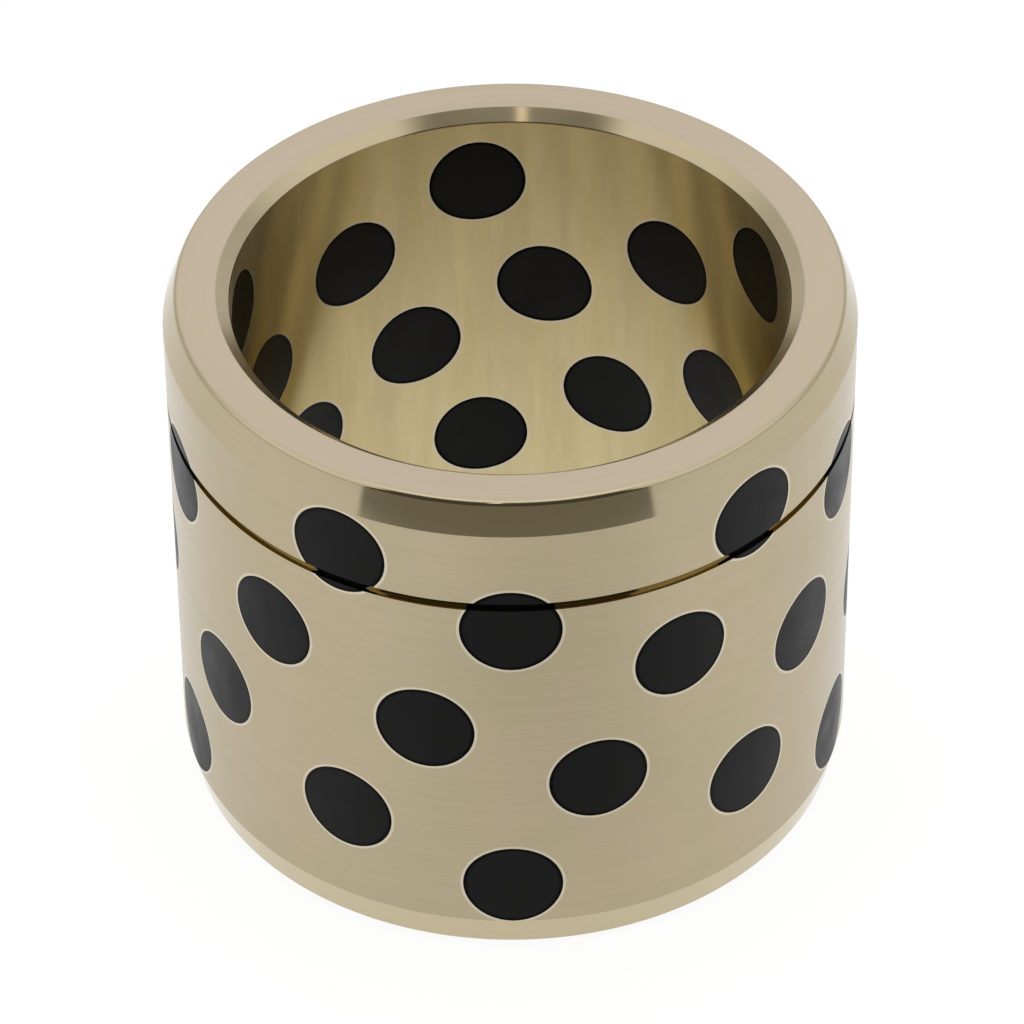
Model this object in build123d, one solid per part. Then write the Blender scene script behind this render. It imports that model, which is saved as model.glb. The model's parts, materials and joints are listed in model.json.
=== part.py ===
from build123d import *
import os
from string import ascii_lowercase

# Graphite plugged bushing: a turned bronze sleeve drilled through the wall in seven
# rings of five holes, with a round graphite plug pressed into each hole. The plugs are
# finished together with the sleeve, so their ends follow the bore, the outside and the
# relief groove. The bushing stands on its lead-in end, centred on the origin, with its
# axis along +Z. Lengths are in millimetres, angles in degrees.

# Sleeve
bore_diameter = 50.0
wall_thickness = 6.0
length = 52.0

# Chamfers at the ends, each as a depth along the axis and a width across it
top_chamfer_depth = 3.0
top_chamfer_width = 1.15
lead_in_depth = 3.1
lead_in_width = 0.7
bore_chamfer_depth = 1.0
bore_chamfer_width = 1.25

# Relief groove round the outside, under the collar
collar_height = 10.65
groove_width = 0.8
groove_depth = 0.5

# Graphite plugs
plug_diameter = 9.0
ring_count = 7
plugs_per_ring = 5
end_to_ring = 7.65         # from each end face to the middle of the nearest ring
ring_turn_angle = 28.8     # from one ring to the next, going down
lowest_ring_angle = -90.0  # where one plug of the lowest ring stands, from +X

# Worked out from the sizes above
bore_radius = bore_diameter / 2
outer_radius = bore_radius + wall_thickness
ring_pitch = (length - 2 * end_to_ring) / (ring_count - 1)
plug_spacing_angle = 360 / plugs_per_ring


def turned_blank():
    """The whole sleeve as turned, before it is drilled."""
    groove_top = length - collar_height
    groove_bottom = groove_top - groove_width
    groove_floor = outer_radius - groove_depth
    section = Polyline(
        # up the outside, from the lead-in to the top chamfer
        (outer_radius - lead_in_width, 0, 0),
        (outer_radius, 0, lead_in_depth),
        (outer_radius, 0, groove_bottom),
        (groove_floor, 0, groove_bottom),
        (groove_floor, 0, groove_top),
        (outer_radius, 0, groove_top),
        (outer_radius, 0, length - top_chamfer_depth),
        (outer_radius - top_chamfer_width, 0, length),
        # and down the bore
        (bore_radius + bore_chamfer_width, 0, length),
        (bore_radius, 0, length - bore_chamfer_depth),
        (bore_radius, 0, bore_chamfer_depth),
        (bore_radius + bore_chamfer_width, 0, 0),
        close=True,
    )
    return revolve(make_face(section), axis=Axis.Z)


def plug_bar(ring, place):
    """A bar of the plug's diameter, from the axis out past the outside."""
    height = length - end_to_ring - (ring - 1) * ring_pitch
    ring_angle = lowest_ring_angle - (ring_count - ring) * ring_turn_angle
    outwards = Vector(1, 0, 0).rotate(Axis.Z, ring_angle + place * plug_spacing_angle)
    start = Plane(origin=(0, 0, height), z_dir=outwards)
    return extrude(start * Circle(plug_diameter / 2), amount=2 * outer_radius)


def save(shape, name):
    """Write one piece of the bushing to its own file."""
    shape.label = name
    export_step(shape, f"parts/{name}.step")


# Ring 1 is the top ring, and the plugs of a ring are a, b, c and so on
bars = {
    f"graphite_plug_{ring}{ascii_lowercase[place]}": plug_bar(ring, place)
    for ring in range(1, ring_count + 1)
    for place in range(plugs_per_ring)
}

os.makedirs("parts", exist_ok=True)
blank = turned_blank()
save(blank - list(bars.values()), "bronze_sleeve")
for name, bar in bars.items():
    save(bar & blank, name)
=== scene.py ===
import json
import math

import bpy
from bpy.props import FloatProperty, FloatVectorProperty, IntProperty, PointerProperty
from mathutils import Matrix, Vector


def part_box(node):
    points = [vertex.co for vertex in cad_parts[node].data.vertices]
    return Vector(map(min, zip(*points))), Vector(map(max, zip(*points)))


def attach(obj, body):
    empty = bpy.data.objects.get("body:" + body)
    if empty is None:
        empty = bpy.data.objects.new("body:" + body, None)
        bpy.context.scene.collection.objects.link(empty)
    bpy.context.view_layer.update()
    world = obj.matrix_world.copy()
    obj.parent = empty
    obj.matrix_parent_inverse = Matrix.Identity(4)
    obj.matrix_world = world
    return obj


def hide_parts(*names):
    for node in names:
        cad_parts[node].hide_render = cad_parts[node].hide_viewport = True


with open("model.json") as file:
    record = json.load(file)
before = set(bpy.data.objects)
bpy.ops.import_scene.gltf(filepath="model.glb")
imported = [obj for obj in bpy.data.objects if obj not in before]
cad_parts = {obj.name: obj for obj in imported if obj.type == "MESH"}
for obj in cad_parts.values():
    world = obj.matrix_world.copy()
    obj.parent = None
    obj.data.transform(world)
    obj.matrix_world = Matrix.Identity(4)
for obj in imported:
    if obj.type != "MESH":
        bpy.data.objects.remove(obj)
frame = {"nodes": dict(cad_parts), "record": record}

bl_info = {
    "name": "Graphite Plugged Bushing",
    "version": (1, 0, 0),
    "blender": (4, 5, 0),
    "location": "3D View > Sidebar > Bushing",
    "description": "Models a turned bronze bushing with graphite plugs, in a plain studio",
    "category": "Add Mesh",
}

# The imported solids, in metres
SLEEVE_NODE = "bronze_sleeve"
PLUG_NODES = sorted(name for name in frame["nodes"] if name != SLEEVE_NODE)
CAD_LOW, CAD_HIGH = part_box(SLEEVE_NODE)
BORE_MOUNT = next(m for m in frame["record"]["mounts"] if m["name"] == "bore")
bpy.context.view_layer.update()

# Where each finish stands in the sleeve's list of materials, and the one in a plug's
TURNED, BORED, CUT, FACED, HOLE_EDGE, GROOVE, LEAD_IN, MOUTH = range(8)
CRUMBLED_EDGE = 1

# How the sleeve's faces are told apart. A face's facing is -1 towards the axis and 1 away
# from it, and its slope is 0 on a wall and 1 on an end face
BORE_FACING = -0.95
END_SLOPE = 0.97
MOUTH_EDGE_SLOPE = 0.80
CHAMFER_SLOPE = 0.15

# The modifier that keeps wide faces flat overlooks faces of a few square millimetres, so
# it works on the piece grown by a power of two, which rounds no coordinate
GROWTH = 1024

# Points nearer than this are welded after a cut, and edges sharper than this are eased
WELD_DISTANCE = 0.00002
SHARP_ANGLE = math.radians(60)

# The tent's soft panels: degrees round from the front, degrees up from level, and the
# angles from a panel's middle at which it starts to fade and has faded out
BACK_PANEL = (180, 38, 8, 48)
ZENITH_PANEL = (0, 90, 4, 26)
SIDE_PANELS = ((-80, 50, 8, 40), (80, 50, 8, 40))

# The small lamp: its middle, half its width and how softly it ends, in radians
LAMP_ROUND = (math.radians(-7.2), math.radians(2.8), math.radians(1.0))
LAMP_RISE = (math.radians(66), math.radians(9), math.radians(1.5))

# Angles up from level between which the opening gets darker, and its sides move out
LOW_LIGHT_RISE = (math.radians(5), math.radians(12))
FLARE_RISE = (math.radians(45), math.radians(58))

# The floor's painted shadow, seen only in reflections: its place in front of the bushing, and
# from where to where it fades
PAINTED_SHADOW_PLACE = (0.014, -0.072, 0)
PAINTED_SHADOW_REACH = (0.005, 0.055)
# Distances between which the floor beyond the opening is painted dark in reflections, as painted
# shade
FLOOR_SHADE_REACH = (1.0, 1.4)


# ---------------------------------------------------------------- settings

class SleeveSizes(bpy.types.PropertyGroup):
    """Sizes of the turned sleeve."""

    length: FloatProperty(
        name="Length", description="From the lead-in end to the collar end",
        default=CAD_HIGH.z - CAD_LOW.z, unit="LENGTH", precision=5)
    outer_radius: FloatProperty(
        name="Outer radius", description="Radius of the outside",
        default=CAD_HIGH.x, unit="LENGTH", precision=5)
    bore_radius: FloatProperty(
        name="Bore radius", description="Radius of the bore",
        default=BORE_MOUNT["dims"]["r_mm"] / 1000, unit="LENGTH", precision=5)
    top_chamfer_depth: FloatProperty(
        name="Top chamfer depth", description="Along the axis",
        default=0.0030, unit="LENGTH", precision=5)
    top_chamfer_width: FloatProperty(
        name="Top chamfer width", description="Across the axis",
        default=0.00115, unit="LENGTH", precision=5)
    lead_in_depth: FloatProperty(
        name="Lead-in depth", description="Along the axis",
        default=0.0031, unit="LENGTH", precision=5)
    lead_in_width: FloatProperty(
        name="Lead-in width", description="Across the axis",
        default=0.0007, unit="LENGTH", precision=5)
    bore_chamfer_depth: FloatProperty(
        name="Bore chamfer depth", description="Along the axis",
        default=0.0010, unit="LENGTH", precision=5)
    bore_chamfer_width: FloatProperty(
        name="Bore chamfer width", description="Across the axis",
        default=0.00125, unit="LENGTH", precision=5)
    collar_height: FloatProperty(
        name="Collar height", description="From the collar end down to the relief groove",
        default=0.01065, unit="LENGTH", precision=5)
    groove_width: FloatProperty(
        name="Groove width", description="Along the axis",
        default=0.0008, unit="LENGTH", precision=5)
    groove_depth: FloatProperty(
        name="Groove depth", description="Below the outside",
        default=0.0005, unit="LENGTH", precision=5)
    rim_easing: FloatProperty(
        name="Rim easing", description="Rounding between the collar end and its chamfer",
        default=0.0004, unit="LENGTH", precision=5)
    mouth_easing: FloatProperty(
        name="Mouth easing", description="Rounding where a bore chamfer meets the bore",
        default=0.00010, unit="LENGTH", precision=5)
    worn_mouth: FloatProperty(
        name="Worn mouth", description="Width of the worn edge round each end of the bore",
        default=0.00012, unit="LENGTH", precision=5)
    turned_easing: FloatProperty(
        name="Turned easing", description="Rounding on the other turned edges",
        default=0.00004, unit="LENGTH", precision=5)
    hole_edge: FloatProperty(
        name="Hole edge", description="Width of the eased edge round every plug hole",
        default=0.00006, unit="LENGTH", precision=5)
    sides: IntProperty(
        name="Sides", description="Facets round the sleeve", default=600, min=50)


class PlugSizes(bpy.types.PropertyGroup):
    """Sizes of the graphite plugs."""

    radius: FloatProperty(
        name="Radius", description="Radius of a plug and its hole",
        default=0.0045, unit="LENGTH", precision=5)
    worn_edge: FloatProperty(
        name="Worn edge", description="Width of the crumbled edge of a plug",
        default=0.00018, unit="LENGTH", precision=5)
    sides: IntProperty(
        name="Sides", description="Facets round a plug", default=96, min=24)


class BronzeFinish(bpy.types.PropertyGroup):
    """Colour and surface of the bronze."""

    colour: FloatVectorProperty(
        name="Colour", description="Main colour of the turned bronze",
        subtype="COLOR", default=(0.444, 0.383, 0.248), min=0, max=1)
    rosy_colour: FloatVectorProperty(
        name="Rosy colour", description="Tint in faint patches",
        subtype="COLOR", default=(0.468, 0.391, 0.264), min=0, max=1)
    # Painted light: the end faces are painted paler and a little lighter than the turned bronze,
    # for the white light they reflect
    faced_lit_colour: FloatVectorProperty(
        name="Faced colour", description="Main colour of the end faces",
        subtype="COLOR", default=(0.490, 0.412, 0.305), min=0, max=1)
    # Painted light: the bore is painted lighter and yellower than the turned bronze, for light
    # bouncing round inside it
    bore_lit_colour: FloatVectorProperty(
        name="Bore colour", description="Main colour of the bored face",
        subtype="COLOR", default=(0.685, 0.58, 0.33), min=0, max=1)
    # Painted reflection: tint of the soft streaks drawn down the bore
    bore_reflection_streak_colour: FloatVectorProperty(
        name="Bore stain", description="Tint of the soft streaks down the bore",
        subtype="COLOR", default=(0.625, 0.52, 0.285), min=0, max=1)
    bore_edge_tint: FloatVectorProperty(
        name="Bore edge tint",
        description="What the bore and the groove keep of light at a glancing angle",
        subtype="COLOR", default=(0.60, 0.52, 0.36), min=0, max=1)
    # Painted light: the lead-in is painted lighter, for the brightly lit floor close below it
    # that it reflects
    lead_in_lit_colour: FloatVectorProperty(
        name="Lead-in colour", description="Brighter bronze of the lead-in",
        subtype="COLOR", default=(0.545, 0.465, 0.303), min=0, max=1)
    # Painted shade: the relief groove's bronze is painted dark and brown, for the shade deep in
    # the narrow groove
    groove_shade_colour: FloatVectorProperty(
        name="Groove colour", description="Dull stained bronze in the relief groove",
        subtype="COLOR", default=(0.38, 0.30, 0.15), min=0, max=1)
    # Painted highlight: a bright ring round every plug, and the eased plug hole edges
    plug_highlight_colour: FloatVectorProperty(
        name="Rubbed colour", description="Bright bronze round every plug",
        subtype="COLOR", default=(0.66, 0.60, 0.48), min=0, max=1)
    turned_roughness: FloatProperty(
        name="Turned roughness", description="Roughness of the outside",
        default=0.20, min=0, max=1)
    bore_roughness: FloatProperty(
        name="Bore roughness", description="Roughness of the bored face",
        default=0.27, min=0, max=1)
    cut_roughness: FloatProperty(
        name="Cut roughness", description="Roughness of the outer chamfer and the lead-in",
        default=0.08, min=0, max=1)
    mouth_roughness: FloatProperty(
        name="Mouth roughness", description="Roughness of the chamfers at the bore's ends",
        default=0.15, min=0, max=1)
    groove_roughness: FloatProperty(
        name="Groove roughness", description="Roughness of the relief groove",
        default=0.05, min=0, max=1)
    faced_roughness: FloatProperty(
        name="Faced roughness", description="Roughness of the end faces",
        default=0.30, min=0, max=1)
    line_pitch: FloatProperty(
        name="Line pitch", description="Distance between the fine turning lines",
        default=0.00016, unit="LENGTH", precision=6)
    # Painted highlight: width of the bright ring round a plug
    plug_highlight_width: FloatProperty(
        name="Rubbed width", description="Width of the bright ring round a plug",
        default=0.00030, unit="LENGTH", precision=6)


class GraphiteFinish(bpy.types.PropertyGroup):
    """Colour and surface of the graphite."""

    colour: FloatVectorProperty(
        name="Colour", description="Main colour of the graphite",
        subtype="COLOR", default=(0.0045, 0.0045, 0.0042), min=0, max=1)
    grain: FloatProperty(
        name="Grain", description="Size of the grain",
        default=0.00025, unit="LENGTH", precision=6)
    roughness: FloatProperty(
        name="Roughness", description="Middle roughness of the ends",
        default=0.36, min=0, max=1)
    edge_colour: FloatVectorProperty(
        name="Edge colour", description="Colour of the crumbled edge of a plug",
        subtype="COLOR", default=(0.002, 0.0018, 0.0015), min=0, max=1)
    dark_rim: FloatProperty(
        name="Dark rim", description="Width of the darker rim of an end",
        default=0.00040, unit="LENGTH", precision=6)


class StudioSettings(bpy.types.PropertyGroup):
    """Floor, light and camera."""

    floor_size: FloatProperty(
        name="Floor size", description="Side of the floor", default=6.0, unit="LENGTH")
    floor_colour: FloatVectorProperty(
        name="Floor colour", description="Matt colour of the floor",
        subtype="COLOR", default=(0.15, 0.15, 0.15), min=0, max=1)
    floor_lift: FloatProperty(
        name="Floor lift", description="How far the floor is lifted towards white",
        default=0.90, min=0)
    # Painted shadow on the floor in front of the bushing, seen only in reflections
    floor_painted_shadow: FloatProperty(
        name="Floor dimming",
        description="How far the floor at the front is dimmed in reflections",
        default=0.20, min=0, max=1)
    tent_light: FloatProperty(
        name="Tent light", description="Strength of the white tent all round",
        default=0.80, min=0)
    back_panel: FloatProperty(
        name="Back panel", description="Strength added by the soft panel behind",
        default=0.36, min=0)
    side_panels: FloatProperty(
        name="Side panels", description="Strength added by the soft panel on each side",
        default=0.40, min=0)
    zenith_panel: FloatProperty(
        name="Zenith panel", description="Strength added by the soft panel overhead",
        default=0.6, min=0)
    small_lamp: FloatProperty(
        name="Small lamp", description="Strength of the small lamp above the opening",
        default=2.0, min=0)
    opening_light: FloatProperty(
        name="Opening light", description="Strength seen through the tent's opening",
        default=0.10, min=0)
    opening_low_light: FloatProperty(
        name="Opening low light", description="Strength seen low down through the opening",
        default=0.26, min=0)
    opening_colour: FloatVectorProperty(
        name="Opening colour", description="Tint of what is seen through the opening",
        subtype="COLOR", default=(1.0, 0.94, 0.76), min=0, max=1)
    opening_turn: FloatProperty(
        name="Opening turn", description="Angle from the front to the middle of the opening",
        default=math.radians(-1.3), subtype="ANGLE")
    opening_half_width: FloatProperty(
        name="Opening half width", description="Angle from the middle of the opening to a side",
        default=math.radians(43.5), subtype="ANGLE")
    opening_softness: FloatProperty(
        name="Opening softness", description="Half the angle over which its sides fade",
        default=math.radians(1.2), subtype="ANGLE")
    opening_flare: FloatProperty(
        name="Opening flare", description="How much further round each side reaches high up",
        default=math.radians(8.5), subtype="ANGLE")
    opening_flare_softness: FloatProperty(
        name="Opening flare softness",
        description="Half the angle over which its sides fade high up",
        default=math.radians(11), subtype="ANGLE")
    opening_top: FloatProperty(
        name="Opening top", description="Angle from level up to the top of the opening",
        default=math.radians(68), subtype="ANGLE")
    opening_top_softness: FloatProperty(
        name="Opening top softness", description="Half the angle over which its top fades",
        default=math.radians(12), subtype="ANGLE")
    camera_distance: FloatProperty(
        name="Camera distance", description="From the aim point to the camera",
        default=0.5516, unit="LENGTH", precision=4)
    camera_height_angle: FloatProperty(
        name="Camera height", description="Angle of the camera above the aim point",
        default=math.radians(40.661), subtype="ANGLE")
    camera_side_angle: FloatProperty(
        name="Camera side", description="Angle of the camera round from -Y towards +X",
        default=math.radians(0.365), subtype="ANGLE")
    camera_pitch: FloatProperty(
        name="Camera pitch", description="Angle that the camera looks down",
        default=math.radians(40.823), subtype="ANGLE")
    camera_roll: FloatProperty(
        name="Camera roll", description="Turn of the camera about its own line of sight",
        default=math.radians(-0.522), subtype="ANGLE")
    aim_height: FloatProperty(
        name="Aim height", description="Height of the aim point on the axis",
        default=0.0272, unit="LENGTH", precision=4)
    lens_mm: FloatProperty(
        name="Lens", description="Focal length in millimetres", default=211.7, min=1)


# ---------------------------------------------------------------- small helpers

def deselect_all():
    """Leave nothing selected."""
    bpy.ops.object.select_all(action="DESELECT")


def deselect_mesh(piece):
    """Leave no vertex, edge or face of a mesh selected."""
    make_active(piece)
    bpy.ops.object.mode_set(mode="EDIT")
    bpy.ops.mesh.select_mode(type="EDGE")
    bpy.ops.mesh.select_all(action="DESELECT")
    bpy.ops.object.mode_set(mode="OBJECT")


def make_active(piece):
    """Select one piece alone and make it active."""
    deselect_all()
    piece.select_set(True)
    bpy.context.view_layer.objects.active = piece


def apply_modifier(piece, kind, name, **settings):
    """Add a modifier, set it and apply it."""
    make_active(piece)
    modifier = piece.modifiers.new(name, kind)
    for key, value in settings.items():
        setattr(modifier, key, value)
    bpy.ops.object.modifier_apply(modifier=name)


def resize(piece, growth):
    """Make a piece larger or smaller about the origin, and apply it."""
    piece.scale = (growth, growth, growth)
    make_active(piece)
    bpy.ops.object.transform_apply(location=False, rotation=False, scale=True)


def smooth(piece):
    """Shade smooth, with the wide faces kept flat right up to their eased edges."""
    make_active(piece)
    bpy.ops.object.shade_smooth()
    resize(piece, GROWTH)
    apply_modifier(piece, "WEIGHTED_NORMAL", "flat_faces", mode="FACE_AREA", weight=50,
                   keep_sharp=False)
    resize(piece, 1 / GROWTH)


def plug_place(node):
    """Angle round the axis and height of a plug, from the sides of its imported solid."""
    corners = [v.co for v in frame["nodes"][node].data.vertices]
    middle = sum(corners, Vector())
    aim = math.atan2(middle.y, middle.x)
    sides = [math.remainder(math.atan2(c.y, c.x) - aim, 2 * math.pi) for c in corners]
    low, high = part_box(node)
    return aim + (min(sides) + max(sides)) / 2, round((low.z + high.z) / 2, 5)


def plug_rings():
    """Height of each ring, going up, and the names and angles of its plugs."""
    rings = {}
    for node in PLUG_NODES:
        angle, height = plug_place(node)
        rings.setdefault(height, []).append((node, angle))
    return sorted(rings.items())


# ---------------------------------------------------------------- modelling

def sleeve_section(sizes):
    """Radius, height and easing of each turned corner, up the outside and down the bore."""
    outer, bore, length = sizes.outer_radius, sizes.bore_radius, sizes.length
    groove_top = length - sizes.collar_height
    groove_bottom = groove_top - sizes.groove_width
    groove_floor = outer - sizes.groove_depth
    bore_mouth = bore + sizes.bore_chamfer_width
    soft, mouth, worn = sizes.turned_easing, sizes.mouth_easing, sizes.worn_mouth
    return [
        (outer - sizes.lead_in_width, 0, soft),
        (outer, sizes.lead_in_depth, soft),
        (outer, groove_bottom, soft),
        (groove_floor, groove_bottom, soft),
        (groove_floor, groove_top, soft),
        (outer, groove_top, soft),
        (outer, length - sizes.top_chamfer_depth, soft),
        (outer - sizes.top_chamfer_width, length, sizes.rim_easing),
        (bore_mouth, length, worn),
        (bore, length - sizes.bore_chamfer_depth, mouth),
        (bore, sizes.bore_chamfer_depth, mouth),
        (bore_mouth, 0, worn),
    ]


def ease_ring(blank, radius, height, width):
    """Round one turned corner, all the way round."""
    deselect_mesh(blank)
    near = 0.000005
    for edge in blank.data.edges:
        ends = [blank.data.vertices[i].co for i in edge.vertices]
        edge.select = all(abs(e.z - height) < near and abs(math.hypot(e.x, e.y) - radius) < near
                          for e in ends)
    bpy.ops.object.mode_set(mode="EDIT")
    bpy.ops.mesh.bevel(offset=width, offset_type="OFFSET", segments=4, affect="EDGES",
                       clamp_overlap=True)
    bpy.ops.object.mode_set(mode="OBJECT")


def turn_blank(name, sizes):
    """Turn the whole sleeve: one circle, extruded from corner to corner and closed."""
    section = sleeve_section(sizes)
    radius, height, _ = section[0]
    deselect_all()
    bpy.ops.mesh.primitive_circle_add(vertices=sizes.sides, radius=radius, fill_type="NOTHING",
                                      location=(0, 0, 0))
    blank = bpy.context.object
    blank.name = name
    bpy.ops.object.mode_set(mode="EDIT")
    bpy.ops.mesh.select_mode(type="EDGE")
    bpy.ops.mesh.select_all(action="SELECT")
    for next_radius, next_height, _ in section[1:]:
        rise = (0, 0, next_height - height)
        bpy.ops.mesh.extrude_edges_move(TRANSFORM_OT_translate={"value": rise})
        growth = next_radius / radius
        bpy.ops.transform.resize(value=(growth, growth, 1), center_override=(0, 0, next_height))
        radius, height = next_radius, next_height
    bpy.ops.mesh.select_all(action="DESELECT")
    bpy.ops.mesh.select_non_manifold()
    bpy.ops.mesh.bridge_edge_loops()
    bpy.ops.mesh.select_all(action="SELECT")
    bpy.ops.mesh.normals_make_consistent(inside=False)
    bpy.ops.object.mode_set(mode="OBJECT")
    for radius, height, easing in section:
        ease_ring(blank, radius, height, easing)
    return blank


def plug_bar(height, sleeve, plug):
    """A bar through the wall at +X, at one height."""
    wall = sleeve.outer_radius - sleeve.bore_radius
    middle = (sleeve.outer_radius + sleeve.bore_radius) / 2
    deselect_all()
    bpy.ops.mesh.primitive_cylinder_add(
        vertices=plug.sides, radius=plug.radius, depth=2 * wall,
        location=(middle, 0, height), rotation=(0, math.pi / 2, 0))
    bpy.ops.object.transform_apply(location=True, rotation=True, scale=True)
    return bpy.context.object


def placed_copy(piece, name, angle, rise):
    """A copy with its own mesh, turned round the axis and raised."""
    make_active(piece)
    bpy.ops.object.duplicate(linked=False)
    copy = bpy.context.object
    copy.name = name
    copy.rotation_euler.z = angle
    copy.location.z = rise
    bpy.ops.object.transform_apply(location=True, rotation=True, scale=True)
    return copy


def remove(piece):
    """Take a helper piece out of the scene."""
    bpy.data.objects.remove(piece, do_unlink=True)


# ---------------------------------------------------------------- materials

# Smooth noise stays between these values almost everywhere
NOISE_RANGE = (0.3, 0.7)
# Noise between which the bronze goes from its colour to its tint
PATCH_RANGE = (0.38, 0.62)
# How much of the painted highlight colour shows right at a plug
PLUG_HIGHLIGHT_SHARE = 0.75
# Turns the drawn-out reflection, so that it runs across the turning lines
QUARTER_TURN = 0.25

WHITE = (1, 1, 1)
# What the dark rim of a plug keeps of the shine of its middle
RIM_SHINE = (0.03, 0.03, 0.03)
GRAPHITE_IOR = 1.21
CRUMBLED_IOR = 1.06


class NodeBench:
    """Adds nodes to one node tree, and links them as they are added."""

    def __init__(self, owner):
        owner.use_nodes = True
        self.nodes, self.links = owner.node_tree.nodes, owner.node_tree.links
        self.nodes.clear()

    def add(self, kind, inputs=None, **settings):
        """A node, with its inputs fed and its settings made."""
        node = self.nodes.new(kind)
        for key, value in settings.items():
            setattr(node, key, value)
        for key, value in (inputs or {}).items():
            self.feed(node, key, value)
        return node

    def feed(self, node, key, value):
        """Link a socket to an input, or set the input to a value."""
        if isinstance(value, bpy.types.NodeSocket):
            self.links.new(value, node.inputs[key])
        else:
            node.inputs[key].default_value = value

    def math(self, operation, *values):
        """One Math node."""
        inputs = dict(enumerate(values))
        return self.add("ShaderNodeMath", inputs, operation=operation).outputs[0]

    def ramp(self, value, low, high, at_low=0.0, at_high=1.0, kind="LINEAR"):
        """A value carried from one range to another, and held at its ends."""
        inputs = {"Value": value, "From Min": low, "From Max": high,
                  "To Min": at_low, "To Max": at_high}
        return self.add("ShaderNodeMapRange", inputs, interpolation_type=kind).outputs[0]

    def blend(self, factor, first, second, kind="MIX"):
        """Two colours mixed."""
        node = self.add("ShaderNodeMix", data_type="RGBA", blend_type=kind)
        for key, value in (("Factor", factor), ("A", first), ("B", second)):
            socket = next(i for i in node.inputs if i.name == key and i.enabled)
            if isinstance(value, bpy.types.NodeSocket):
                self.links.new(value, socket)
            else:
                socket.default_value = value if key == "Factor" else (*value, 1)
        return next(o for o in node.outputs if o.enabled)

    def noise(self, place, scale, detail=2.0, roughness=0.5):
        """Smooth noise."""
        inputs = {"Vector": place, "Scale": scale, "Detail": detail, "Roughness": roughness}
        return self.add("ShaderNodeTexNoise", inputs).outputs["Fac"]


def surface_bench(name):
    """A new material with its shader, and where a point is round the axis."""
    material = bpy.data.materials.new(name)
    bench = NodeBench(material)
    output = bench.add("ShaderNodeOutputMaterial")
    bench.shader = bench.add("ShaderNodeBsdfPrincipled")
    bench.links.new(bench.shader.outputs["BSDF"], output.inputs["Surface"])
    bench.place = bench.add("ShaderNodeTexCoord").outputs["Object"]
    axes = bench.add("ShaderNodeSeparateXYZ", {"Vector": bench.place}).outputs
    bench.x, bench.y, bench.z = axes["X"], axes["Y"], axes["Z"]
    flat = bench.add("ShaderNodeCombineXYZ", {"X": bench.x, "Y": bench.y}).outputs[0]
    bench.radius = bench.add("ShaderNodeVectorMath", {0: flat},
                             operation="LENGTH").outputs["Value"]
    bench.outward = bench.add("ShaderNodeVectorMath", {0: flat},
                              operation="NORMALIZE").outputs[0]
    return material, bench


def turning_lines(bench, pitch, drift, detail=2.0):
    """Noise drawn out round the axis, about one line to each pitch."""
    along = bench.math("ADD", bench.radius, bench.z)
    step = bench.math("MULTIPLY", along, 1 / pitch)
    drawn = bench.add("ShaderNodeVectorMath", {0: bench.outward, "Scale": drift},
                      operation="SCALE").outputs[0]
    lift = bench.add("ShaderNodeCombineXYZ", {"Z": step}).outputs[0]
    spot = bench.add("ShaderNodeVectorMath", {0: drawn, 1: lift}, operation="ADD").outputs[0]
    return bench.noise(spot, scale=1.0, detail=detail, roughness=0.6)


def plug_pattern():
    """Where the rings of plugs are, in six numbers.

    They are the lowest ring's height and angle, the step in each to the next ring up, the
    angle between two plugs of a ring, and the count of rings.
    """
    rings = plug_rings()
    (low, lowest), (_, second), (high, _) = rings[0], rings[1], rings[-1]
    first = lowest[0][1]
    spacing = 2 * math.pi / len(lowest)
    turn = math.remainder(second[0][1] - first, spacing)
    return low, first, (high - low) / (len(rings) - 1), turn, spacing, len(rings)


def from_plug_axis(bench):
    """Distance from a point to the axis of the nearest plug."""
    low, first, pitch, turn, spacing, count = plug_pattern()
    angle = bench.math("ARCTAN2", bench.y, bench.x)
    up = bench.math("SUBTRACT", bench.z, low)
    below = bench.math("FLOOR", bench.math("DIVIDE", up, pitch))
    distances = []
    for step in (0, 1):
        ring = bench.math("ADD", below, step)
        ring = bench.math("MINIMUM", bench.math("MAXIMUM", ring, 0), count - 1)
        along = bench.math("SUBTRACT", up, bench.math("MULTIPLY", ring, pitch))
        away = bench.math("SUBTRACT", bench.math("SUBTRACT", angle, first),
                          bench.math("MULTIPLY", ring, turn))
        away = bench.math("WRAP", away, -spacing / 2, spacing / 2)
        across = bench.math("MULTIPLY", bench.radius, bench.math("SINE", away))
        square = bench.math("ADD", bench.math("MULTIPLY", along, along),
                            bench.math("MULTIPLY", across, across))
        distances.append(bench.math("SQRT", square))
    return bench.math("MINIMUM", *distances)


def painted_reflection_streaks(bench):
    """Noise drawn out along the axis: painted reflection streaks a few degrees wide."""
    change_down = 6.0
    drift = bench.add("ShaderNodeCombineXYZ",
                      {"Z": bench.math("MULTIPLY", bench.z, change_down)}).outputs[0]
    spot = bench.add("ShaderNodeVectorMath", {0: bench.outward, 1: drift},
                     operation="ADD").outputs[0]
    return bench.noise(spot, scale=9.0, detail=3.0, roughness=0.65)


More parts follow.
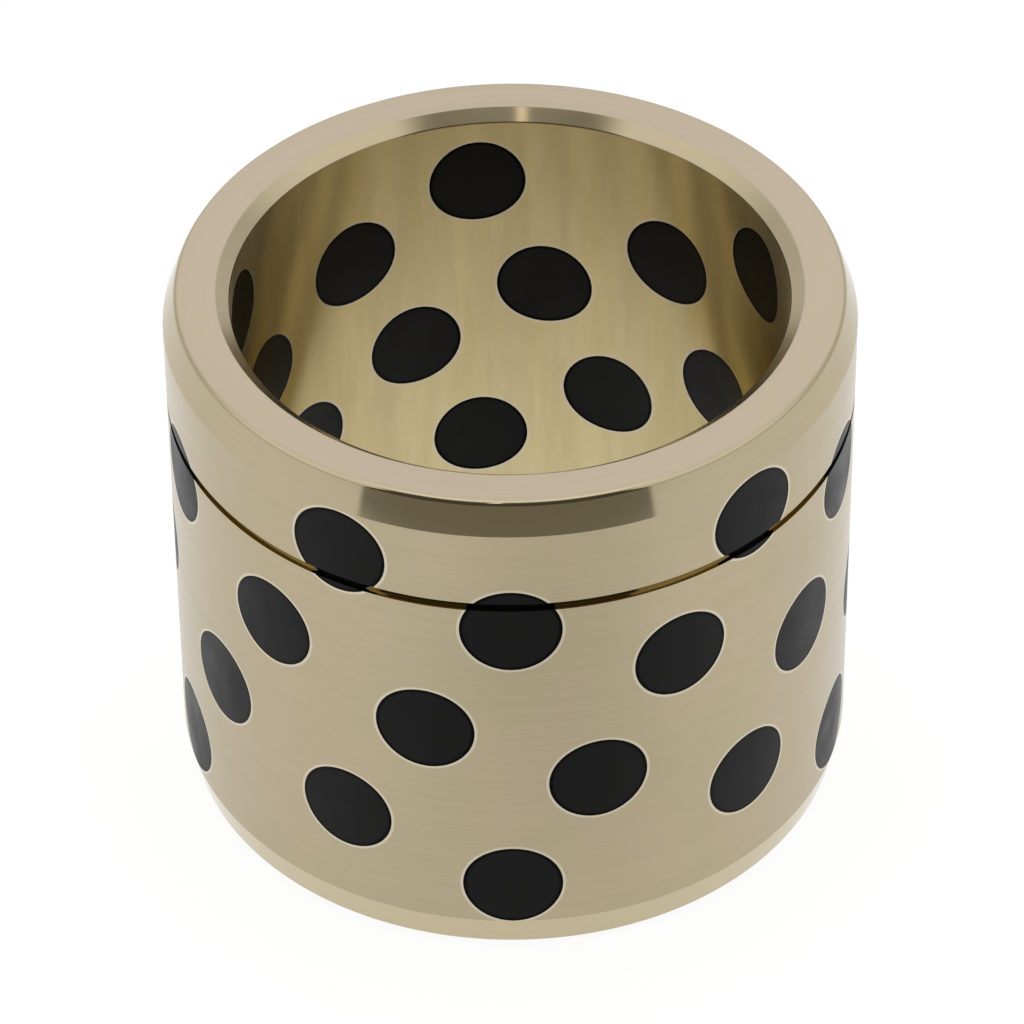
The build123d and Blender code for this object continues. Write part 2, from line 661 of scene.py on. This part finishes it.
def bronze_surface(name, finish, colour, tint, roughness, lines, across_lines=0.9,
                   plug_radius=None, streaked=False):
    """Bronze with fine lines round the axis, and faint patches; streaked, it has painted
    reflection streaks instead.

    lines is how strong the fine lines are, and across_lines how far a reflection is drawn
    out across them. With a plug_radius, a painted highlight brightens a ring round every plug.
    """
    material, bench = surface_bench(name)
    shader = bench.shader
    fine = turning_lines(bench, finish.line_pitch, drift=0.5)
    broad = turning_lines(bench, 7 * finish.line_pitch, drift=0.4, detail=3.0)
    if streaked:
        # Painted reflection streaks down the bore, in place of the patches
        patches = painted_reflection_streaks(bench)
    else:
        patches = bench.noise(bench.place, scale=70.0, detail=3.0)
    base = bench.blend(bench.ramp(patches, *PATCH_RANGE), colour, tint)
    shade = bench.ramp(fine, *NOISE_RANGE, 1 - lines, 1 + lines)
    grey = bench.add("ShaderNodeCombineColor", {"Red": shade, "Green": shade, "Blue": shade})
    base = bench.blend(1.0, base, grey.outputs[0], "MULTIPLY")
    rough = bench.ramp(broad, *NOISE_RANGE,
                       roughness * (1 - 4 * lines), roughness * (1 + 5 * lines))
    if plug_radius:
        edge = from_plug_axis(bench)
        # Painted highlight: a bright ring round every plug
        highlight_ring = bench.ramp(edge, plug_radius + 0.6 * finish.plug_highlight_width,
                            plug_radius + finish.plug_highlight_width, PLUG_HIGHLIGHT_SHARE, 0.0)
        base = bench.blend(highlight_ring, base, finish.plug_highlight_colour)
    bump = bench.add("ShaderNodeBump", {"Height": fine, "Strength": 1.5 * lines,
                                        "Distance": 0.00001})
    tangent = bench.add("ShaderNodeTangent", direction_type="RADIAL", axis="Z")
    shader.inputs["Metallic"].default_value = 1.0
    shader.inputs["Anisotropic"].default_value = across_lines
    shader.inputs["Anisotropic Rotation"].default_value = QUARTER_TURN
    bench.feed(shader, "Base Color", base)
    bench.feed(shader, "Roughness", rough)
    bench.feed(shader, "Normal", bump.outputs["Normal"])
    bench.feed(shader, "Tangent", tangent.outputs[0])
    return material


def hole_edge_highlight_surface(finish):
    """The eased edge of a plug hole, painted bright as a highlight."""
    material, bench = surface_bench("highlight_bronze_edge")
    uneven = bench.noise(bench.place, scale=900.0)
    bench.shader.inputs["Metallic"].default_value = 1.0
    bench.shader.inputs["Base Color"].default_value = (*finish.plug_highlight_colour, 1)
    rough = bench.ramp(uneven, *NOISE_RANGE, at_low=0.25, at_high=0.45)
    bench.feed(bench.shader, "Roughness", rough)
    return material


def bronze_surfaces(finish, plug_radius):
    """The sleeve's materials, in the order of their names."""
    turned = bronze_surface("turned_bronze", finish, finish.colour, finish.rosy_colour,
                            finish.turned_roughness, lines=0.02, plug_radius=plug_radius)
    # The bore: painted light in its lighter colour, and painted reflection streaks
    bored = bronze_surface("bored_bronze", finish, finish.bore_lit_colour, finish.bore_reflection_streak_colour,
                           finish.bore_roughness, lines=0.002, across_lines=1.0,
                           plug_radius=plug_radius, streaked=True)
    cut = bronze_surface("cut_bronze", finish, finish.colour, finish.rosy_colour,
                         finish.cut_roughness, lines=0.015)
    # The end faces: painted light in their paler colour
    faced = bronze_surface("faced_bronze", finish, finish.faced_lit_colour, finish.faced_lit_colour,
                           finish.faced_roughness, lines=0.02)
    # The relief groove: painted shade in its dark colour
    groove = bronze_surface("groove_bronze", finish, finish.groove_shade_colour, finish.groove_shade_colour,
                            finish.groove_roughness, lines=0.01)
    # The lead-in: painted light in its lighter colour
    lead_in = bronze_surface("lead_in_bronze", finish, finish.lead_in_lit_colour,
                             finish.lead_in_lit_colour, finish.cut_roughness, lines=0.015)
    mouth = bronze_surface("mouth_bronze", finish, finish.colour, finish.rosy_colour,
                           finish.mouth_roughness, lines=0.015)
    for surface in (bored, groove):
        tint = surface.node_tree.nodes["Principled BSDF"].inputs["Specular Tint"]
        tint.default_value = (*finish.bore_edge_tint, 1)
    return turned, bored, cut, faced, hole_edge_highlight_surface(finish), groove, lead_in, mouth


def graphite_surface(finish, plug_radius):
    """Machined graphite: near black, with a fine grain and a darker rim."""
    material, bench = surface_bench("machined_graphite")
    shader = bench.shader
    grain = bench.noise(bench.place, 1 / finish.grain, detail=4.0, roughness=0.7)
    smear = bench.noise(bench.place, scale=260.0)
    smeared = 0.06  # how much rougher or smoother a smear is

    def shade(share):
        """The graphite's colour, made darker or paler."""
        return [share * c for c in finish.colour]

    base = bench.blend(grain, shade(0.6), shade(1.6))
    edge = from_plug_axis(bench)
    rim = bench.ramp(edge, plug_radius - finish.dark_rim, plug_radius - 0.5 * finish.dark_rim)
    base = bench.blend(rim, base, shade(0.2))
    rough = bench.ramp(smear, *NOISE_RANGE,
                       finish.roughness - smeared, finish.roughness + smeared)
    bump = bench.add("ShaderNodeBump", {"Height": grain, "Strength": 0.1, "Distance": 0.00003})
    shader.inputs["IOR"].default_value = GRAPHITE_IOR
    bench.feed(shader, "Specular Tint", bench.blend(rim, WHITE, RIM_SHINE))
    bench.feed(shader, "Base Color", base)
    bench.feed(shader, "Roughness", rough)
    bench.feed(shader, "Normal", bump.outputs["Normal"])
    return material


def graphite_edge_surface(finish):
    """The crumbled edge of a plug: dull, and blacker than its end."""
    material, bench = surface_bench("crumbled_graphite_edge")
    crumbs = bench.noise(bench.place, 1 / finish.grain, detail=3.0, roughness=0.7)
    bump = bench.add("ShaderNodeBump", {"Height": crumbs, "Strength": 0.3, "Distance": 0.00005})
    bench.shader.inputs["Base Color"].default_value = (*finish.edge_colour, 1)
    bench.shader.inputs["Roughness"].default_value = 0.8
    bench.shader.inputs["IOR"].default_value = CRUMBLED_IOR
    bench.feed(bench.shader, "Normal", bump.outputs["Normal"])
    return material


# ---------------------------------------------------------------- operators

class BUSHING_OT_stage(bpy.types.Operator):
    """Make the floor, the tent of light and the camera"""

    bl_idname = "bushing.stage"
    bl_label = "Make Stage"

    def execute(self, context):
        studio = context.scene.bushing_studio
        self.make_floor(studio)
        self.make_tent(context.scene, studio)
        self.make_camera(context.scene, studio)
        return {"FINISHED"}

    def make_floor(self, studio):
        """A pale floor that keeps the bushing's shadow, with painted shadow and painted shade
        that are seen only in reflections.
        """
        deselect_all()
        bpy.ops.mesh.primitive_plane_add(size=studio.floor_size, location=(0, 0, 0))
        floor = bpy.context.object
        floor.name = "studio_floor"
        material = bpy.data.materials.new("studio_floor")
        bench = NodeBench(material)
        matt = bench.add("ShaderNodeBsdfDiffuse", {"Color": (*studio.floor_colour, 1)})
        place = bench.add("ShaderNodeTexCoord").outputs["Object"]
        away = bench.add("ShaderNodeVectorMath", {0: place, 1: PAINTED_SHADOW_PLACE},
                         operation="DISTANCE").outputs["Value"]
        # Painted shadow: the floor in front of the bushing is dimmed, for reflections only
        dimmed = bench.ramp(away, *PAINTED_SHADOW_REACH, 1 - studio.floor_painted_shadow, 1.0, "SMOOTHSTEP")
        axes = bench.add("ShaderNodeSeparateXYZ", {"Vector": place}).outputs
        reach = bench.add("ShaderNodeVectorMath", {0: place}, operation="LENGTH").outputs["Value"]
        turn = bench.math("ARCTAN2", axes["X"], bench.math("MULTIPLY", axes["Y"], -1))
        turn = bench.math("ABSOLUTE", bench.math("SUBTRACT", turn, studio.opening_turn))
        # Painted shade: the floor far beyond the opening goes dark, for reflections only
        beyond = bench.math("MULTIPLY", bench.ramp(reach, *FLOOR_SHADE_REACH),
                            bench.ramp(turn, studio.opening_half_width - studio.opening_softness,
                                       studio.opening_half_width + studio.opening_softness,
                                       1.0, 0.0, "SMOOTHSTEP"))
        dimmed = bench.math("MULTIPLY", dimmed, bench.math("SUBTRACT", 1, beyond))
        rays = bench.add("ShaderNodeLightPath").outputs
        mirrored = bench.math("MULTIPLY", rays["Is Glossy Ray"], dimmed)
        seen = bench.math("MAXIMUM", rays["Is Camera Ray"], mirrored)
        seen = bench.math("MAXIMUM", seen, rays["Is Transmission Ray"])
        lift = bench.math("MULTIPLY", seen, studio.floor_lift)
        glow = bench.add("ShaderNodeEmission", {"Color": (1, 1, 1, 1), "Strength": lift})
        both = bench.add("ShaderNodeAddShader", {0: matt.outputs[0], 1: glow.outputs[0]})
        bench.add("ShaderNodeOutputMaterial", {"Surface": both.outputs[0]})
        floor.data.materials.append(material)

    def make_tent(self, scene, studio):
        """A white tent with soft panels, and a darker opening on the camera's side."""
        world = bpy.data.worlds.new("studio_tent")
        scene.world = world
        bench = NodeBench(world)
        way = bench.add("ShaderNodeTexCoord").outputs["Generated"]
        way = bench.add("ShaderNodeVectorMath", {0: way}, operation="NORMALIZE").outputs[0]
        axes = bench.add("ShaderNodeSeparateXYZ", {"Vector": way}).outputs

        def panel(side, rise, inner, outer, strength):
            """A soft round panel, at an angle round from -Y towards +X and up from level."""
            side, rise = math.radians(side), math.radians(rise)
            aim = (math.cos(rise) * math.sin(side), -math.cos(rise) * math.cos(side),
                   math.sin(rise))
            near = bench.add("ShaderNodeVectorMath", {0: way, 1: aim},
                             operation="DOT_PRODUCT").outputs["Value"]
            return bench.ramp(near, math.cos(math.radians(outer)), math.cos(math.radians(inner)),
                              0.0, strength, "SMOOTHSTEP")

        tent = bench.math("ADD", panel(*BACK_PANEL, studio.back_panel), studio.tent_light)
        tent = bench.math("ADD", tent, panel(*ZENITH_PANEL, studio.zenith_panel))
        for side_panel in SIDE_PANELS:
            tent = bench.math("ADD", tent, panel(*side_panel, studio.side_panels))

        round_from_front = bench.math("ARCTAN2", axes["X"], bench.math("MULTIPLY", axes["Y"], -1))
        rise = bench.math("ARCSINE", axes["Z"])

        def within(value, middle, half_width, soft):
            """One inside a range of angles, and none outside it."""
            away = bench.math("ABSOLUTE", bench.math("SUBTRACT", value, middle))
            return bench.ramp(away, half_width - soft, half_width + soft, 1.0, 0.0, "SMOOTHSTEP")

        edge_softness = bench.ramp(rise, *FLARE_RISE, studio.opening_softness,
                                   studio.opening_flare_softness)
        edge = bench.ramp(rise, *FLARE_RISE, studio.opening_half_width,
                          studio.opening_half_width + studio.opening_flare)
        over = bench.math("ABSOLUTE", bench.math("SUBTRACT", round_from_front,
                                                 studio.opening_turn))
        over = bench.math("SUBTRACT", over, edge)
        over = bench.math("DIVIDE", over, edge_softness)
        opening = bench.math("MULTIPLY", bench.ramp(over, -1.0, 1.0, 1.0, 0.0, "SMOOTHSTEP"),
                             within(rise, 0, studio.opening_top, studio.opening_top_softness))
        low = bench.ramp(rise, *LOW_LIGHT_RISE, studio.opening_low_light, studio.opening_light,
                         "SMOOTHSTEP")
        lamp = bench.math("MULTIPLY", within(round_from_front, *LAMP_ROUND),
                          within(rise, *LAMP_RISE))
        inside = bench.math("ADD", bench.math("MULTIPLY", lamp, studio.small_lamp), low)
        outside = bench.math("MULTIPLY", tent, bench.math("SUBTRACT", 1, opening))
        light = bench.math("ADD", outside, bench.math("MULTIPLY", inside, opening))
        colour = bench.blend(opening, WHITE, studio.opening_colour)
        back = bench.add("ShaderNodeBackground", {"Color": colour, "Strength": light})
        bench.add("ShaderNodeOutputWorld", {"Surface": back.outputs[0]})

    def make_camera(self, scene, studio):
        """The camera, above and in front of the bushing."""
        level = studio.camera_distance * math.cos(studio.camera_height_angle)
        place = Vector((level * math.sin(studio.camera_side_angle),
                        -level * math.cos(studio.camera_side_angle),
                        studio.aim_height
                        + studio.camera_distance * math.sin(studio.camera_height_angle)))
        lens = bpy.data.cameras.new("studio_camera")
        lens.sensor_width = 36.0
        lens.lens = studio.lens_mm
        lens.clip_start = 0.01
        lens.clip_end = 50.0
        camera = bpy.data.objects.new("studio_camera", lens)
        scene.collection.objects.link(camera)
        camera.matrix_world = (
            Matrix.Translation(place)
            @ Matrix.Rotation(studio.camera_side_angle, 4, "Z")
            @ Matrix.Rotation(math.pi / 2 - studio.camera_pitch, 4, "X")
            @ Matrix.Rotation(studio.camera_roll, 4, "Z"))
        scene.camera = camera


class BUSHING_OT_sleeve(bpy.types.Operator):
    """Turn the bronze sleeve and drill it for its plugs"""

    bl_idname = "bushing.sleeve"
    bl_label = "Make Sleeve"

    def execute(self, context):
        scene = context.scene
        sizes, plug = scene.bushing_sleeve, scene.bushing_plugs
        sleeve = turn_blank("turned_sleeve", sizes)
        bar = plug_bar(0, sizes, plug)
        drills = [placed_copy(bar, "drill", *plug_place(node)) for node in PLUG_NODES]
        remove(bar)
        deselect_all()
        for drill in drills:
            drill.select_set(True)
        context.view_layer.objects.active = drills[0]
        bpy.ops.object.join()
        drill = drills[0]
        apply_modifier(sleeve, "BOOLEAN", "plug_holes", object=drill, operation="DIFFERENCE",
                       solver="EXACT")
        remove(drill)
        apply_modifier(sleeve, "WELD", "tidy_rims", merge_threshold=WELD_DISTANCE)
        self.dress(sleeve, sizes, plug, scene.bushing_bronze)
        # The eased plug hole edges take the painted highlight material
        apply_modifier(sleeve, "BEVEL", "hole_edges", width=sizes.hole_edge, segments=2,
                       limit_method="ANGLE", angle_limit=SHARP_ANGLE,
                       material=HOLE_EDGE, use_clamp_overlap=True)
        smooth(sleeve)
        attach(sleeve, "root")
        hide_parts(SLEEVE_NODE)
        return {"FINISHED"}

    def dress(self, sleeve, sizes, plug, finish):
        """Give each turned face its own finish, by where it faces. The bore, the end faces and
        the lead-in carry painted light, and the groove painted shade.
        """
        for material in bronze_surfaces(finish, plug.radius):
            sleeve.data.materials.append(material)
        groove_top = sizes.length - sizes.collar_height
        groove_bottom = groove_top - sizes.groove_width
        mouth = sizes.bore_radius + sizes.bore_chamfer_width
        near = 0.00001
        for face in sleeve.data.polygons:
            outward = Vector((face.center.x, face.center.y, 0))
            radius = outward.length
            facing = face.normal.dot(outward.normalized())
            on_mouth_edge = abs(radius - mouth) < sizes.worn_mouth \
                and min(face.center.z, sizes.length - face.center.z) < sizes.worn_mouth
            in_groove = groove_bottom - near < face.center.z < groove_top + near
            slope = abs(face.normal.z)
            if facing < BORE_FACING:
                face.material_index = BORED
            elif mouth < radius < sizes.outer_radius - near and in_groove:
                face.material_index = GROOVE
            elif slope > END_SLOPE or on_mouth_edge and slope > MOUTH_EDGE_SLOPE:
                face.material_index = FACED
            elif radius > mouth and face.center.z < sizes.lead_in_depth:
                face.material_index = LEAD_IN
            elif slope > CHAMFER_SLOPE:
                face.material_index = MOUTH if radius < mouth else CUT
            else:
                face.material_index = TURNED


class BUSHING_OT_plugs(bpy.types.Operator):
    """Make the graphite plugs, finished flush with the sleeve"""

    bl_idname = "bushing.plugs"
    bl_label = "Make Plugs"

    def execute(self, context):
        scene = context.scene
        sizes, plug = scene.bushing_sleeve, scene.bushing_plugs
        blank = turn_blank("finishing_blank", sizes)
        graphite = (graphite_surface(scene.bushing_graphite, plug.radius),
                    graphite_edge_surface(scene.bushing_graphite))
        for height, ring in plug_rings():
            first = self.finished_plug(blank, height, sizes, plug, graphite)
            for node, angle in ring:
                piece = placed_copy(first, node.replace("graphite_plug", "graphite"), angle, 0)
                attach(piece, "root")
                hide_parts(node)
            remove(first)
        remove(blank)
        return {"FINISHED"}

    def finished_plug(self, blank, height, sizes, plug, graphite):
        """A plug at +X, turned and bored flush with the sleeve."""
        piece = plug_bar(height, sizes, plug)
        apply_modifier(piece, "BOOLEAN", "finished_flush", object=blank,
                       operation="INTERSECT", solver="EXACT")
        piece.data.materials.clear()
        for material in graphite:
            piece.data.materials.append(material)
        apply_modifier(piece, "WELD", "tidy_rims", merge_threshold=WELD_DISTANCE)
        apply_modifier(piece, "BEVEL", "worn_edge", width=plug.worn_edge, segments=2,
                       limit_method="ANGLE", angle_limit=SHARP_ANGLE,
                       material=CRUMBLED_EDGE, use_clamp_overlap=True)
        smooth(piece)
        return piece


class BUSHING_PT_panel(bpy.types.Panel):
    """Buttons for the bushing's pieces and its stage"""

    bl_label = "Graphite Plugged Bushing"
    bl_idname = "BUSHING_PT_panel"
    bl_space_type = "VIEW_3D"
    bl_region_type = "UI"
    bl_category = "Bushing"

    def draw(self, context):
        for step in STEPS:
            self.layout.operator(step.bl_idname)


STEPS = (BUSHING_OT_stage, BUSHING_OT_sleeve, BUSHING_OT_plugs)
SETTINGS = {
    "bushing_sleeve": SleeveSizes,
    "bushing_plugs": PlugSizes,
    "bushing_bronze": BronzeFinish,
    "bushing_graphite": GraphiteFinish,
    "bushing_studio": StudioSettings,
}


def register():
    """Register the settings, the operators and the panel."""
    for name, group in SETTINGS.items():
        bpy.utils.register_class(group)
        setattr(bpy.types.Scene, name, PointerProperty(type=group))
    for step in STEPS:
        bpy.utils.register_class(step)
    bpy.utils.register_class(BUSHING_PT_panel)


def unregister():
    """Undo register."""
    bpy.utils.unregister_class(BUSHING_PT_panel)
    for step in reversed(STEPS):
        bpy.utils.unregister_class(step)
    for name, group in SETTINGS.items():
        delattr(bpy.types.Scene, name)
        bpy.utils.unregister_class(group)


def main():
    """Make the stage and the bushing."""
    register()
    scene = bpy.context.scene
    scene.view_settings.view_transform = "Standard"
    bpy.ops.bushing.stage()
    bpy.ops.bushing.sleeve()
    bpy.ops.bushing.plugs()
    deselect_all()


if __name__ == "__main__":
    main()
